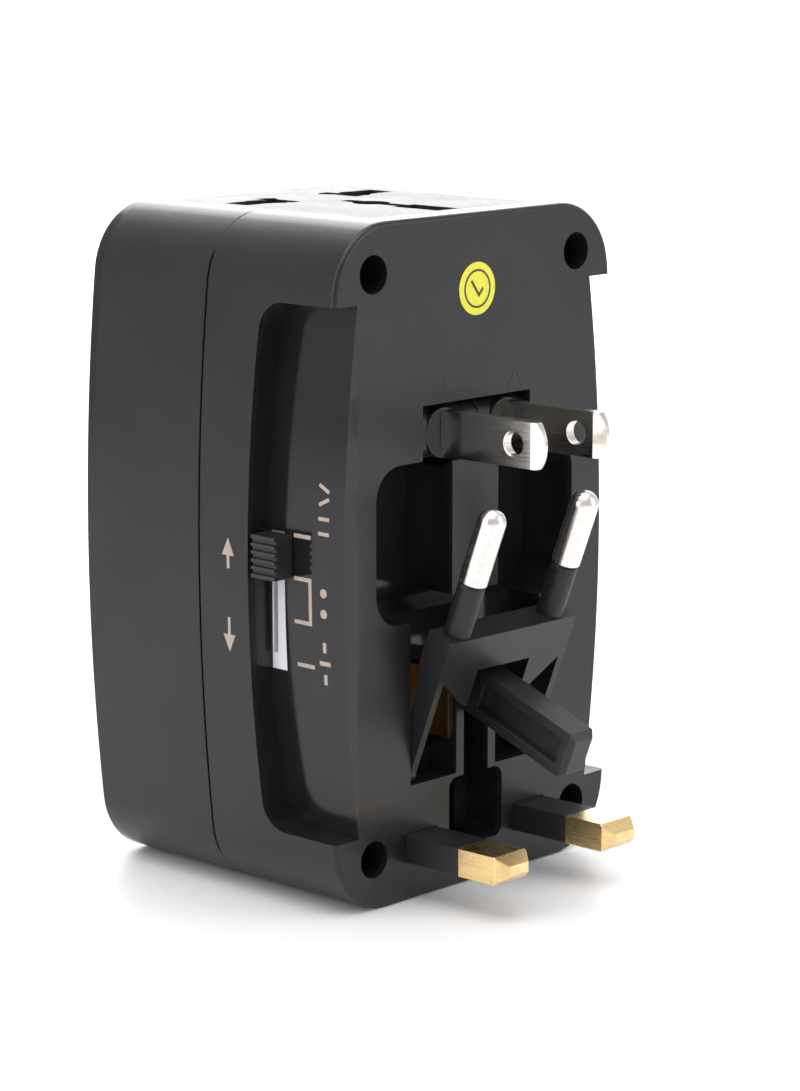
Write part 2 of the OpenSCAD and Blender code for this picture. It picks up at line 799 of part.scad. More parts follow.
module switch_pads() color(brass) for (y = contact_rows, z = [33, 38.9, 44.7, 50.6])
    box([18.21, 18.6], span(y, 0.9), span(z, 2.2));

// ------------------------------------------------------------ screws and label
module housing_screws() color(steel) at_screws() difference() {
    union() {
        bar_y(-10, 6.3, 1.45);
        bar_y(6.22, 8, 2.5);
    }
    // cross recess
    for (angle = [0, 90]) translate([0, 7.6, 0]) rotate([0, angle, 0])
        cube([3, 1.2, 0.6], center = true);
}

module inspection_label() color([0.9, 0.87, 0.2])
    bar_y(rear_y, rear_y + 0.12, 3.6, x = 0.2, z = 82.9);

front_housing();
rear_housing();
front_panel();
trim_plate();
led_lenses();
leds();
led_boards();
usb_shells();
usb_tongues();
usb_contacts();
usb_board();
board_screws();
transformer();
capacitors();
control_chips();
choke_coil();
socket_panel();
socket_block();
socket_contact_line();
socket_contact_neutral();
fuse();
fuse_clips();
mains_wires();
us_carriage();
us_axle();
us_blade_left();
us_blade_right();
us_disc_left();
us_disc_right();
eu_carrier();
eu_pins();
eu_sleeves();
eu_hinge_pins();
eu_contacts();
uk_pins();
uk_sleeves();
uk_carriage();
earth_prong();
earth_hinge_pin();
switch_knob();
switch_guide();
switch_slider();
switch_contacts();
switch_base();
switch_pads();
housing_screws();
inspection_label();
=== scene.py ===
import json
import math

import bmesh
import bpy
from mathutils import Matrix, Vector
from mathutils.bvhtree import BVHTree
from mathutils.geometry import barycentric_transform

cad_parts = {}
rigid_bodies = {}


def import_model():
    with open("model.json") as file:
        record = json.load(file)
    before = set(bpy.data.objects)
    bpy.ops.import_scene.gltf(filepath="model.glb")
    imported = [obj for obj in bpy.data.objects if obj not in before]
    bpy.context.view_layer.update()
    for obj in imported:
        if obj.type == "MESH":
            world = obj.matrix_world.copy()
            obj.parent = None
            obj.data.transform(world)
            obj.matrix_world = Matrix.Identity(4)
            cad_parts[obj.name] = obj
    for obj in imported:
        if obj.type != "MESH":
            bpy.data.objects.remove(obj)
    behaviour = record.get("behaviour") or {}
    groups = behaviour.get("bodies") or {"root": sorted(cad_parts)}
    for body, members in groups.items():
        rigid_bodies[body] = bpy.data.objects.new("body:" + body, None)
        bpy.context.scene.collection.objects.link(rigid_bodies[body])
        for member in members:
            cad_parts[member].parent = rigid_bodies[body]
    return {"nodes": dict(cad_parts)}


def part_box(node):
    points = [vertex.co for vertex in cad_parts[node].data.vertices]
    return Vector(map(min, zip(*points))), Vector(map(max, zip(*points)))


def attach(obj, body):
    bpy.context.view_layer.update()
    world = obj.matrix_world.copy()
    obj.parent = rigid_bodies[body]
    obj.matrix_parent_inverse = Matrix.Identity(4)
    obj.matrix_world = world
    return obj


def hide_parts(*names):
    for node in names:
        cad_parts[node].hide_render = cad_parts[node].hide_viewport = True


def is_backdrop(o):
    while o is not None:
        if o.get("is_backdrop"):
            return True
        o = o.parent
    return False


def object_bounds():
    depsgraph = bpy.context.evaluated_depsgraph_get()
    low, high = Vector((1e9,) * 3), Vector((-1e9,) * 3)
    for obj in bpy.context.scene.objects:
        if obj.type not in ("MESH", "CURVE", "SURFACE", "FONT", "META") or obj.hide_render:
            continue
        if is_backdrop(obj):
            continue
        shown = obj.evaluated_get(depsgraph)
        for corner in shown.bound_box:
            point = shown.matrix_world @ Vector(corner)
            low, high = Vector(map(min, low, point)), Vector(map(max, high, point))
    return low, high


for old in list(bpy.data.objects):
    bpy.data.objects.remove(old)

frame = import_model()
bpy.context.view_layer.update()
NODES = frame["nodes"]
MM = 0.001

# ------------------------------------------------------------------ dimensions
lo_f, hi_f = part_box("front_housing")
lo_r, hi_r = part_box("rear_housing")
H = hi_f.z / MM
YF = lo_f.y / MM
YR = hi_r.y / MM
HALF_MID = hi_r.x / MM
PANEL_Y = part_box("front_panel")[0].y / MM
MID_Z = H / 2
HALF_END = 26.55
SIDE_R = MID_Z * MID_Z / (2 * (HALF_MID - HALF_END))
RECESS_MID = 26.1
RECESS_R = 238.0


def half_width(z):
    return HALF_MID - (z - MID_Z) ** 2 / (2 * SIDE_R)


def recess_half(z):
    return RECESS_MID - (z - MID_Z) ** 2 / (2 * RECESS_R)


# ------------------------------------------------------------------- materials
class Nodes:
    """A short way to write a node tree."""

    def __init__(self, name):
        self.mat = bpy.data.materials.new(name)
        self.mat.use_nodes = True
        self.t = self.mat.node_tree
        self.t.nodes.clear()
        self.out = self.t.nodes.new("ShaderNodeOutputMaterial")
        self.bsdf = self.t.nodes.new("ShaderNodeBsdfPrincipled")
        self.t.links.new(self.bsdf.outputs[0], self.out.inputs[0])
        self.co = self.t.nodes.new("ShaderNodeTexCoord").outputs["Object"]

    def new(self, kind, **props):
        n = self.t.nodes.new(kind)
        for k, v in props.items():
            setattr(n, k, v)
        return n

    def put(self, socket, value):
        if isinstance(value, bpy.types.NodeSocket):
            self.t.links.new(value, socket)
        else:
            socket.default_value = value

    def noise(self, scale, detail=2.0, rough=0.5, stretch=(1, 1, 1), seed=(0, 0, 0)):
        m = self.new("ShaderNodeMapping")
        self.put(m.inputs["Vector"], self.co)
        m.inputs["Scale"].default_value = stretch
        m.inputs["Location"].default_value = seed
        n = self.new("ShaderNodeTexNoise")
        self.put(n.inputs["Vector"], m.outputs[0])
        n.inputs["Scale"].default_value = scale
        n.inputs["Detail"].default_value = detail
        n.inputs["Roughness"].default_value = rough
        return n.outputs["Fac"]

    def range(self, value, a, b, c=0.0, d=1.0):
        n = self.new("ShaderNodeMapRange")
        self.put(n.inputs["Value"], value)
        n.inputs["From Min"].default_value = a
        n.inputs["From Max"].default_value = b
        n.inputs["To Min"].default_value = c
        n.inputs["To Max"].default_value = d
        return n.outputs[0]

    def math(self, op, a, b=0.0, clamp=False):
        n = self.new("ShaderNodeMath", operation=op, use_clamp=clamp)
        self.put(n.inputs[0], a)
        self.put(n.inputs[1], b)
        return n.outputs[0]

    def mix(self, fac, a, b):
        n = self.new("ShaderNodeMix", data_type="RGBA")
        self.put(n.inputs["Factor"], fac)
        for key, v in (("A", a), ("B", b)):
            s = [i for i in n.inputs if i.name == key and i.type == "RGBA"][0]
            self.put(s, v if isinstance(v, bpy.types.NodeSocket) else (*v, 1.0))
        return [o for o in n.outputs if o.type == "RGBA"][0]

    def lerp(self, fac, a, b):
        n = self.new("ShaderNodeMix", data_type="FLOAT")
        s = [i for i in n.inputs if i.type == "VALUE"]
        self.put(s[0], fac)
        self.put(s[1], a)
        self.put(s[2], b)
        return [o for o in n.outputs if o.type == "VALUE"][0]

    def bump(self, height, distance, strength=1.0, normal=None):
        n = self.new("ShaderNodeBump")
        n.inputs["Strength"].default_value = strength
        n.inputs["Distance"].default_value = distance
        self.put(n.inputs["Height"], height)
        if normal is not None:
            self.put(n.inputs["Normal"], normal)
        return n.outputs[0]

    def xyz(self):
        n = self.new("ShaderNodeSeparateXYZ")
        self.put(n.inputs[0], self.co)
        return n.outputs

    def set(self, **values):
        for k, v in values.items():
            s = self.bsdf.inputs[k.replace("_", " ")]
            if isinstance(v, tuple) and len(v) == 3:
                v = (*v, 1.0)
            self.put(s, v)
        return self.mat


def shade(c, k):
    return tuple(min(1.0, x * k) for x in c)


def plastic(name, col, rough, grain=0.25, depth=0.006, spread=0.12, peel=0.004):
    """Moulded plastic. grain is the size of its texture and depth its height, in mm."""
    n = Nodes(name)
    blotch = n.noise(70, 3.0)
    fine = n.noise(1 / (grain * MM), 3.0, 0.6)
    wave = n.noise(420, 1.0, 0.4, seed=(3, 1, 2))
    smudge = n.range(n.noise(120, 4.0, 0.6, seed=(7, 5, 1)), 0.35, 0.7)
    color = n.mix(n.range(blotch, 0.3, 0.7), shade(col, 1 - spread), shade(col, 1 + spread))
    r = n.math("ADD", n.range(fine, 0.3, 0.7, rough - 0.03, rough + 0.05), n.math("MULTIPLY", smudge, 0.05))
    b = n.bump(wave, peel * MM)
    b = n.bump(fine, depth * MM, normal=b)
    return n.set(Base_Color=color, Roughness=r, Normal=b, IOR=1.5, Specular_IOR_Level=0.4)


def metal(name, col, rough, along="y", scratch=0.0006, tarnish=None, spread=0.08):
    """Metal finished in one direction, with fine scratches along it."""
    n = Nodes(name)
    stretch = {"x": (0.03, 1, 1), "y": (1, 0.03, 1), "z": (1, 1, 0.03)}[along]
    lines = n.noise(9000, 2.0, 0.6, stretch)
    coarse = n.noise(1800, 2.0, 0.5, stretch, (1, 4, 2))
    patches = n.noise(260, 4.0, 0.6, seed=(2, 6, 3))
    color = n.mix(n.range(coarse, 0.3, 0.7), shade(col, 1 - spread), shade(col, 1 + spread))
    if tarnish:
        color = n.mix(n.range(patches, 0.5, 0.8, 0.0, 0.6), color, tarnish)
    r = n.math("ADD", n.range(lines, 0.3, 0.7, rough - 0.04, rough + 0.06), n.range(patches, 0.4, 0.8, 0.0, 0.08))
    return n.set(Base_Color=color, Metallic=1.0, Roughness=r, Normal=n.bump(lines, scratch * MM))


def body_plastic():
    """Black ABS: satin outside, polished in the grips, the pocket, the notches and the trim groove, with painted shade
    along the seam between the housings.
    """
    n = Nodes("body_black")
    x, y, z = n.xyz()
    ax = n.math("ABSOLUTE", x)
    dz = n.math("SUBTRACT", z, MID_Z * MM)
    outer = n.math("SUBTRACT", HALF_MID * MM, n.math("MULTIPLY", n.math("MULTIPLY", dz, dz), 1 / (2 * SIDE_R * MM)))
    inward = n.range(n.math("SUBTRACT", outer, ax), 0.7 * MM, 1.4 * MM)
    grip = n.math("MULTIPLY", inward, n.math("MULTIPLY", n.range(y, 9.0 * MM, 9.6 * MM), n.range(ax, 23 * MM, 24 * MM)))
    grip = n.math("MULTIPLY", grip, n.range(n.math("ABSOLUTE", dz), 35.4 * MM, 34.4 * MM))
    front = n.range(y, (YF + 1.6) * MM, (YF + 1.2) * MM)
    inside = n.math("MULTIPLY", n.range(y, (YR - 0.6) * MM, (YR - 1.4) * MM), n.range(ax, 22 * MM, 21 * MM))
    gloss = n.math("MAXIMUM", grip, n.math("MAXIMUM", front, inside), clamp=True)
    blotch = n.noise(60, 3.0)
    fine = n.noise(4200, 3.0, 0.6)
    peel = n.noise(380, 1.0, 0.4, seed=(3, 1, 2))
    smudge = n.range(n.noise(110, 4.0, 0.6, seed=(7, 5, 1)), 0.35, 0.7)
    hair = n.range(n.noise(2600, 1.0, 0.4, (1, 1, 0.02), (5, 2, 9)), 0.66, 0.74)
    color = n.mix(n.range(blotch, 0.3, 0.7), (0.0085, 0.0085, 0.0095), (0.0135, 0.0135, 0.0145))
    satin = n.range(fine, 0.3, 0.7, 0.27, 0.37)
    rough = n.lerp(gloss, satin, 0.09)
    rough = n.math("ADD", rough, n.math("MULTIPLY", smudge, 0.06))
    rough = n.math("ADD", rough, n.math("MULTIPLY", hair, 0.03))
    depth = n.lerp(gloss, 1.0, 0.1)
    # Painted shade: along the seam between front and rear housing, near the outer sides, the colour is darkened to near
    # black and the reflection is turned off. This stands in for the shade inside the groove.
    seam_painted_shade = n.math("MULTIPLY", n.range(n.math("ABSOLUTE", y), 0.26 * MM, 0.12 * MM), n.range(inward, 0.6, 0.1))
    color = n.mix(seam_painted_shade, color, (0.001, 0.001, 0.001))
    b = n.bump(peel, 0.004 * MM)
    b = n.bump(n.math("MULTIPLY", fine, depth), 0.004 * MM, normal=b)
    return n.set(Base_Color=color, Roughness=rough, Normal=b, IOR=1.5, Specular_IOR_Level=n.lerp(seam_painted_shade, 0.4, 0.0))


def panel_plastic():
    """The front panel's spark-eroded grain."""
    n = Nodes("panel_grain")
    grain = n.noise(2300, 3.0, 0.6)
    cells = n.new("ShaderNodeTexVoronoi")
    n.put(cells.inputs["Vector"], n.co)
    cells.inputs["Scale"].default_value = 2000
    pits = cells.outputs["Distance"]
    blotch = n.noise(50, 3.0)
    color = n.mix(n.range(blotch, 0.3, 0.7), (0.009, 0.0093, 0.0105), (0.0135, 0.0138, 0.0155))
    color = n.mix(n.range(grain, 0.55, 0.75, 0.0, 0.5), color, (0.034, 0.034, 0.038))
    b = n.bump(grain, 0.22 * MM, 1.0)
    b = n.bump(pits, 0.06 * MM, 0.8, normal=b)
    return n.set(Base_Color=color, Roughness=n.range(grain, 0.3, 0.7, 0.42, 0.56), Normal=b)


def trim_metal():
    """Dark blue-black metal, brushed from top to bottom."""
    n = Nodes("trim_brushed")
    lines = n.noise(5200, 3.0, 0.7, (1, 1, 0.012))
    wide = n.noise(900, 3.0, 0.6, (1, 1, 0.02), (4, 2, 1))
    color = n.mix(n.range(lines, 0.3, 0.7), (0.012, 0.016, 0.019), (0.055, 0.066, 0.074))
    color = n.mix(n.range(wide, 0.5, 0.8, 0.0, 0.5), color, (0.09, 0.105, 0.115))
    return n.set(Base_Color=color, Metallic=0.85, Roughness=n.range(lines, 0.3, 0.7, 0.24, 0.44),
                 Normal=n.bump(lines, 0.006 * MM), Anisotropic=0.6)


def lens_plastic():
    n = Nodes("lens_pink")
    ribs = n.noise(1400, 1.0, 0.4, (1, 1, 0.2))
    cloud = n.noise(500, 2.0)
    return n.set(Base_Color=n.mix(n.range(cloud, 0.3, 0.7), (0.78, 0.44, 0.45), (0.92, 0.66, 0.66)),
                 Roughness=n.range(cloud, 0.3, 0.7, 0.12, 0.22), Subsurface_Weight=0.5,
                 Subsurface_Scale=0.001, Normal=n.bump(ribs, 0.01 * MM), Coat_Weight=0.4)


def ink(name, col):
    """Pad printing: slightly uneven, with thin spots."""
    n = Nodes(name)
    cover = n.noise(2600, 3.0, 0.6)
    return n.set(Base_Color=n.mix(n.range(cover, 0.35, 0.65), shade(col, 0.8), col),
                 Roughness=n.range(cover, 0.3, 0.7, 0.4, 0.6), Normal=n.bump(cover, 0.004 * MM))


def sticker():
    n = Nodes("sticker_yellow")
    fiber = n.noise(1500, 4.0, 0.6)
    return n.set(Base_Color=n.mix(n.range(fiber, 0.3, 0.7), (0.66, 0.62, 0.02), (0.78, 0.74, 0.05)),
                 Roughness=0.42, Normal=n.bump(fiber, 0.01 * MM), Coat_Weight=0.25)


def board():
    n = Nodes("board_green")
    brick = n.new("ShaderNodeTexBrick")
    m = n.new("ShaderNodeMapping")
    n.put(m.inputs["Vector"], n.co)
    m.inputs["Rotation"].default_value = (math.pi / 2, 0, 0)
    n.put(brick.inputs["Vector"], m.outputs[0])
    brick.inputs["Scale"].default_value = 260
    brick.inputs["Mortar Size"].default_value = 0.05
    weave = n.noise(2400, 2.0)
    color = n.mix(brick.outputs["Fac"], (0.008, 0.07, 0.03), (0.02, 0.13, 0.05))
    return n.set(Base_Color=color, Roughness=n.range(weave, 0.3, 0.7, 0.3, 0.42), Normal=n.bump(weave, 0.008 * MM))


def wound(name, a, b, scale, rough, metallic=0.0):
    """Turns of wire or tape, side by side."""
    n = Nodes(name)
    w = n.new("ShaderNodeTexWave")
    n.put(w.inputs["Vector"], n.co)
    w.inputs["Scale"].default_value = scale
    w.inputs["Distortion"].default_value = 0.6
    f = w.outputs["Fac"]
    return n.set(Base_Color=n.mix(f, a, b), Roughness=rough, Metallic=metallic, Normal=n.bump(f, 0.03 * MM))


M = {
    "body": body_plastic(),
    "panel": panel_plastic(),
    "trim": trim_metal(),
    "lens": lens_plastic(),
    "satin": plastic("satin_black", (0.014, 0.014, 0.015), 0.3, 0.3, 0.004),
    "sleeve": plastic("sleeve_black", (0.012, 0.012, 0.013), 0.42, 0.2, 0.006),
    "knob": plastic("knob_black", (0.016, 0.016, 0.017), 0.38, 0.2, 0.008),
    "white": plastic("nylon_white", (0.74, 0.74, 0.77), 0.3, 0.3, 0.003, 0.03),
    "cream": plastic("nylon_cream", (0.66, 0.65, 0.6), 0.36, 0.3, 0.003, 0.04),
    "nickel": metal("nickel_plate", (0.80, 0.76, 0.70), 0.15, "y", 0.0008),
    "nickel_pin": metal("nickel_turned", (0.82, 0.77, 0.73), 0.2, "x", 0.0008),
    "brass": metal("brass_milled", (0.90, 0.64, 0.30), 0.26, "y", 0.0015, (0.66, 0.42, 0.17)),
    "leaf": metal("brass_leaf", (0.36, 0.22, 0.085), 0.36, "z", 0.0015, (0.2, 0.11, 0.04)),
    "steel": metal("steel_drawn", (0.40, 0.37, 0.34), 0.22, "y", 0.001),
    "gold": metal("gold_plate", (0.9, 0.6, 0.22), 0.18, "y", 0.0006),
    "screw": metal("screw_steel", (0.25, 0.25, 0.26), 0.34, "x", 0.002),
    "ink": ink("ink_beige", (0.40, 0.32, 0.215)),
    "ink_side": ink("ink_pale", (0.45, 0.36, 0.29)),
    "ink_dark": ink("ink_dark", (0.05, 0.05, 0.03)),
    "label": sticker(),
    "board": board(),
    "epoxy": plastic("epoxy_black", (0.014, 0.014, 0.014), 0.5, 0.15, 0.01),
    "ceramic": plastic("ceramic", (0.72, 0.71, 0.66), 0.3, 0.2, 0.004, 0.03),
    "laminate": plastic("laminate_brown", (0.2, 0.11, 0.045), 0.55, 0.4, 0.01),
    "cable": plastic("cable_red", (0.3, 0.015, 0.012), 0.45, 0.3, 0.005),
    "led": plastic("led_red", (0.6, 0.05, 0.04), 0.12, 0.3, 0.001),
    "core": wound("coil_tape", (0.4, 0.3, 0.03), (0.55, 0.44, 0.06), 130, 0.4),
    "winding": wound("coil_copper", (0.3, 0.1, 0.03), (0.55, 0.24, 0.08), 480, 0.28, 0.8),
    "can": wound("can_sleeve", (0.03, 0.04, 0.11), (0.05, 0.06, 0.16), 40, 0.32),
}

LOOK = {
    "front_housing": "body", "rear_housing": "body", "front_panel": "panel", "trim_plate": "trim",
    "led_lenses": "lens", "leds": "led", "led_boards": "board", "usb_shells": "steel",
    "usb_tongues": "white", "usb_contacts": "gold", "usb_board": "board", "board_screws": "screw",
    "transformer": "core", "capacitors": "can", "control_chips": "epoxy", "choke_coil": "winding",
    "socket_panel": "satin", "socket_block": "epoxy", "socket_contact_line": "brass",
    "socket_contact_neutral": "brass", "fuse": "ceramic", "fuse_clips": "brass", "mains_wires": "cable",
    "us_carriage": "satin", "us_axle": "steel", "us_blade_left": "nickel", "us_blade_right": "nickel",
    "us_disc_left": "satin", "us_disc_right": "satin", "eu_carrier": "satin", "eu_pins": "nickel_pin",
    "eu_sleeves": "sleeve", "eu_hinge_pins": "steel", "eu_contacts": "leaf", "uk_pins": "brass",
    "uk_sleeves": "sleeve", "uk_carriage": "epoxy", "earth_prong": "satin", "earth_hinge_pin": "steel",
    "switch_knob": "knob", "switch_guide": "white", "switch_slider": "cream", "switch_contacts": "gold",
    "switch_base": "laminate", "switch_pads": "gold", "housing_screws": "screw", "inspection_label": "label",
}
for name, o in NODES.items():
    o.data.materials.clear()
    o.data.materials.append(M[LOOK[name]])


# ---------------------------------------------------- skins with rounded edges
def shading_of(node):
    """The CAD node's own smooth normals, ready to look up."""
    me = NODES[node].data
    me.calc_loop_triangles()
    points = [v.co.copy() for v in me.vertices]
    tris = [tuple(t.vertices) for t in me.loop_triangles]
    normals = [[me.corner_normals[i].vector.copy() for i in t.loops] for t in me.loop_triangles]
    return BVHTree.FromPolygons(points, tris), points, tris, normals


def shade_like(me, source, wide):
    """Give each face that lies on the CAD surface the CAD's normals, and blend the rounded edges into them.

    wide is the area in mm2 from which a face counts as flat; narrower ones next to each other are blended.
    """
    tree, points, tris, normals = source
    area = me.attributes["outline_area"].data
    found = [None] * len(me.loops)
    at_vertex = [[] for _ in me.vertices]
    rounded = [[] for _ in me.vertices]
    for p in me.polygons:
        on_cad = True
        for li in p.loop_indices:
            co = me.vertices[me.loops[li].vertex_index].co
            _, n, i, d = tree.find_nearest(co.lerp(p.center, 0.2))
            if i is None or d > 1.5e-5 or n.dot(p.normal) < 0.9945:
                on_cad = False
                break
            a, b, c = (points[k] for k in tris[i])
            v = barycentric_transform(co, a, b, c, *normals[i])
            found[li] = v.normalized() if v.length > 0.5 and v.normalized().dot(p.normal) > 0.97 else p.normal.copy()
        for li in p.loop_indices:
            if not on_cad:
                found[li] = None
            vi = me.loops[li].vertex_index
            if on_cad:
                at_vertex[vi].append((found[li], area[p.index].value))
            else:
                rounded[vi].append((p.normal.copy(), p.area))
    blended = {}
    for p in me.polygons:
        if area[p.index].value >= wide:
            continue
        for li in p.loop_indices:
            if found[li] is None:
                continue
            near = [(v, a) for v, a in at_vertex[me.loops[li].vertex_index] if v.dot(found[li]) > 0.92]
            flat = [v for v, a in near if a >= wide]
            if flat:
                blended[li] = max(flat, key=lambda v: v.dot(found[li]))
            else:
                kinds = {}
                for v, a in near:
                    kinds[tuple(round(c, 3) for c in v)] = (v, a)
                total = Vector((0, 0, 0))
                for v, a in kinds.values():
                    total += v * a
                blended[li] = total.normalized()
    for li, v in blended.items():
        found[li] = v
    for p in me.polygons:
        for li in p.loop_indices:
            if found[li] is not None:
                continue
            vi = me.loops[li].vertex_index
            near = [v for v, a in at_vertex[vi] if v.dot(p.normal) > 0.75]
            if near:
                found[li] = max(near, key=lambda v: v.dot(p.normal))
                continue
            total = Vector((0, 0, 0))
            for n, area in rounded[vi]:
                if n.dot(p.normal) > 0.75:
                    total += n * max(area, 1e-12)
            found[li] = total.normalized() if total.length > 0 else p.normal.copy()
    for p in me.polygons:
        p.use_smooth = True
    me.normals_split_custom_set(found)


def link(name, bm, body, look, source, wide):
    me = bpy.data.meshes.new(name)
    bm.to_mesh(me)
    bm.free()
    o = bpy.data.objects.new(name, me)
    bpy.context.scene.collection.objects.link(o)
    me.materials.append(M[look])
    shade_like(me, source, wide)
    me.attributes.remove(me.attributes["outline_area"])
    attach(o, body)
    return o


def open_edges(bm):
    return sum(1 for e in bm.edges if len(e.link_faces) != 2)


def strays(bm, tree):
    """How far, in mm, the middle of a face lies from the CAD surface at most."""
    return max(tree.find_nearest(f.calc_center_median())[3] for f in bm.faces) / MM


def skin(node, body, passes, look=None, wide=0.0):
    """The CAD node's own shape, with its sharp edges rounded. Each pass is (test, radius in mm, segments).

    A try that leaves the surface open or away from the CAD is thrown away, and a gentler one is made.
    """
    look = look or LOOK[node]
    source = shading_of(node)
    for flat, scale in ((0.4, 1.0), (0.4, 0.6), (0.0, 1.0), (0.0, 0.6), (0.0, 0.3), (0.0, 0.0)):
        bm = bmesh.new()
        bm.from_mesh(NODES[node].data)
        bmesh.ops.remove_doubles(bm, verts=bm.verts, dist=2e-6)
        if flat:
            bmesh.ops.dissolve_limit(bm, angle_limit=math.radians(flat), verts=bm.verts, edges=bm.edges)
        for test, radius, segments in passes if scale else []:
            es = []
            for e in bm.edges:
                if len(e.link_faces) != 2 or e.calc_face_angle(0) < math.radians(28):
                    continue
                a, b = e.verts[0].co / MM, e.verts[1].co / MM
                if test(a, b, e.is_convex):
                    es.append(e)
            if es:
                bmesh.ops.bevel(bm, geom=es, offset=radius * MM * scale, offset_type="OFFSET",
                                segments=segments, profile=0.5, affect="EDGES", clamp_overlap=True)
                bmesh.ops.remove_doubles(bm, verts=bm.verts, dist=5e-7)
        bmesh.ops.dissolve_degenerate(bm, dist=2e-7, edges=bm.edges)
        layer = bm.faces.layers.float.new("outline_area")
        for f in bm.faces:
            f[layer] = f.calc_area() / MM ** 2
        bmesh.ops.triangulate(bm, faces=bm.faces)
        if scale == 0.0 or (open_edges(bm) == 0 and strays(bm, source[0]) < 0.32):
            break
        bm.free()
    print("skin", node, "flat", flat, "scale", scale, "open edges", open_edges(bm), "strays", round(strays(bm, source[0]), 3))
    o = link(node + "_skin", bm, body, look, source, wide)
    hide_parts(node)
    return o


def any_edge(a, b, convex):
    return True


def convex_edge(a, b, convex):
    return convex


def on_outline(y):
    def test(a, b, convex):
        if abs(a.y - y) > 0.02 or abs(b.y - y) > 0.02 or not convex:
            return False
        for p in (a, b):
            near_side = abs(p.x) > half_width(p.z) - 1.3
            near_end = p.z < 0.3 or p.z > H - 0.3
            in_corner = math.hypot(max(0.0, abs(p.x) - 18.5), max(0.0, abs(p.z - MID_Z) - 35.5)) > 9.0
            if not (near_side or near_end or in_corner):
                return False
        return True
    return test


def at_blade_hole(a, b, convex):
    return max(math.hypot(p.y - 36.6, p.z - 63.9) for p in (a, b)) < 1.75


skin("front_housing", "housing", [
    (on_outline(YF), 0.9, 4), (on_outline(0.0), 0.25, 2)], wide=70)
skin("rear_housing", "housing", [
    (on_outline(YR), 0.7, 4), (on_outline(0.0), 0.25, 2)], wide=70)
skin("front_panel", "housing", [
    (lambda a, b, c: c and abs(a.y - PANEL_Y) < 0.02 and abs(b.y - PANEL_Y) < 0.02, 0.16, 2)])
skin("trim_plate", "housing", [(convex_edge, 0.18, 3)])
skin("led_lenses", "housing", [(convex_edge, 0.3, 3)])
skin("usb_shells", "housing", [(convex_edge, 0.05, 2)])
skin("usb_tongues", "housing", [(convex_edge, 0.14, 2)])
skin("usb_contacts", "housing", [(convex_edge, 0.05, 2)])
skin("socket_panel", "housing", [(convex_edge, 0.12, 2)])
skin("us_carriage", "us_hinge_block", [(convex_edge, 0.12, 2)])
skin("us_disc_left", "us_pin_left", [(convex_edge, 0.14, 3)])
skin("us_disc_right", "us_pin_right", [(convex_edge, 0.14, 3)])
skin("us_blade_left", "us_pin_left", [(at_blade_hole, 0.34, 3), (convex_edge, 0.1, 3)])
skin("us_blade_right", "us_pin_right", [(at_blade_hole, 0.34, 3), (convex_edge, 0.1, 3)])
skin("eu_carrier", "eu_plug", [(convex_edge, 0.22, 3)])
skin("eu_sleeves", "eu_plug", [(convex_edge, 0.06, 2)])
skin("uk_pins", "uk_slider", [(convex_edge, 0.16, 3)])
skin("uk_sleeves", "uk_slider", [(convex_edge, 0.16, 3)])
skin("earth_prong", "earth_lever", [(convex_edge, 0.25, 3)])
skin("switch_knob", "selector", [(convex_edge, 0.1, 2)])
skin("switch_guide", "housing", [(convex_edge, 0.12, 2)])
skin("housing_screws", "housing", [(convex_edge, 0.1, 2)])
skin("inspection_label", "housing", [(convex_edge, 0.03, 1)])


# ------------------------------------------------------------------ print marks
def slab(loops, place, depth):
    """Closed thin pieces: loops of 2D points, placed by place(u, v, h) and depth thick."""
    bm = bmesh.new()
    for loop in loops:
        top = [bm.verts.new(place(u, v, 1.0)) for u, v in loop]
        low = [bm.verts.new(place(u, v, 0.0)) for u, v in loop]
        bm.faces.new(top)
        bm.faces.new(list(reversed(low)))
        k = len(loop)
        for i in range(k):
            bm.faces.new([top[i], low[i], low[(i + 1) % k], top[(i + 1) % k]])
    bmesh.ops.recalc_face_normals(bm, faces=bm.faces)
    return bm


def strip(points, w):
    """A line of width w along points, as one closed loop."""
    left, right = [], []
    n = len(points)
    for i, p in enumerate(points):
        p = Vector(p)
        d0 = (p - Vector(points[i - 1])).normalized() if i > 0 else None
        d1 = (Vector(points[i + 1]) - p).normalized() if i < n - 1 else None
        d = ((d0 or d1) + (d1 or d0)).normalized()
        k = 1 / max(0.5, d.dot(d0 or d1))
        side = Vector((-d.y, d.x)) * w / 2 * k
        left.append(tuple(p + side))
        right.append(tuple(p - side))
    return left + right[::-1]


def dash(x0, x1, z, h):
    r = h / 2
    pts = []
    for cx, a0 in ((x1 - r, -90), (x0 + r, 90)):
        for k in range(7):
            a = math.radians(a0 + k * 30)
            pts.append((cx + r * math.cos(a), z + r * math.sin(a)))
    return pts


def ring(cx, cz, r0, r1, n=40):
    """A ring, as short pieces that share no faces."""
    out = []
    for k in range(n):
        a, b = 2 * math.pi * k / n, 2 * math.pi * (k + 0.985) / n
        out.append([(cx + r0 * math.cos(a), cz + r0 * math.sin(a)), (cx + r1 * math.cos(a), cz + r1 * math.sin(a)),
                    (cx + r1 * math.cos(b), cz + r1 * math.sin(b)), (cx + r0 * math.cos(b), cz + r0 * math.sin(b))])
    return out


def disc(cx, cz, r, n=28):
    return [(cx + r * math.cos(2 * math.pi * k / n), cz + r * math.sin(2 * math.pi * k / n)) for k in range(n)]


def on_front(u, v, h):
    return Vector((u, PANEL_Y + 0.03 - 0.06 * h, v)) * MM


def on_rear(u, v, h):
    return Vector((u, YR - 0.02 + 0.05 * h, v)) * MM


def on_recess(u, v, h):
    return Vector((recess_half(v) - 0.04 + 0.07 * h, u, v)) * MM


def on_side(u, v, h):
    return Vector((half_width(v) - 0.04 + 0.07 * h, u, v)) * MM


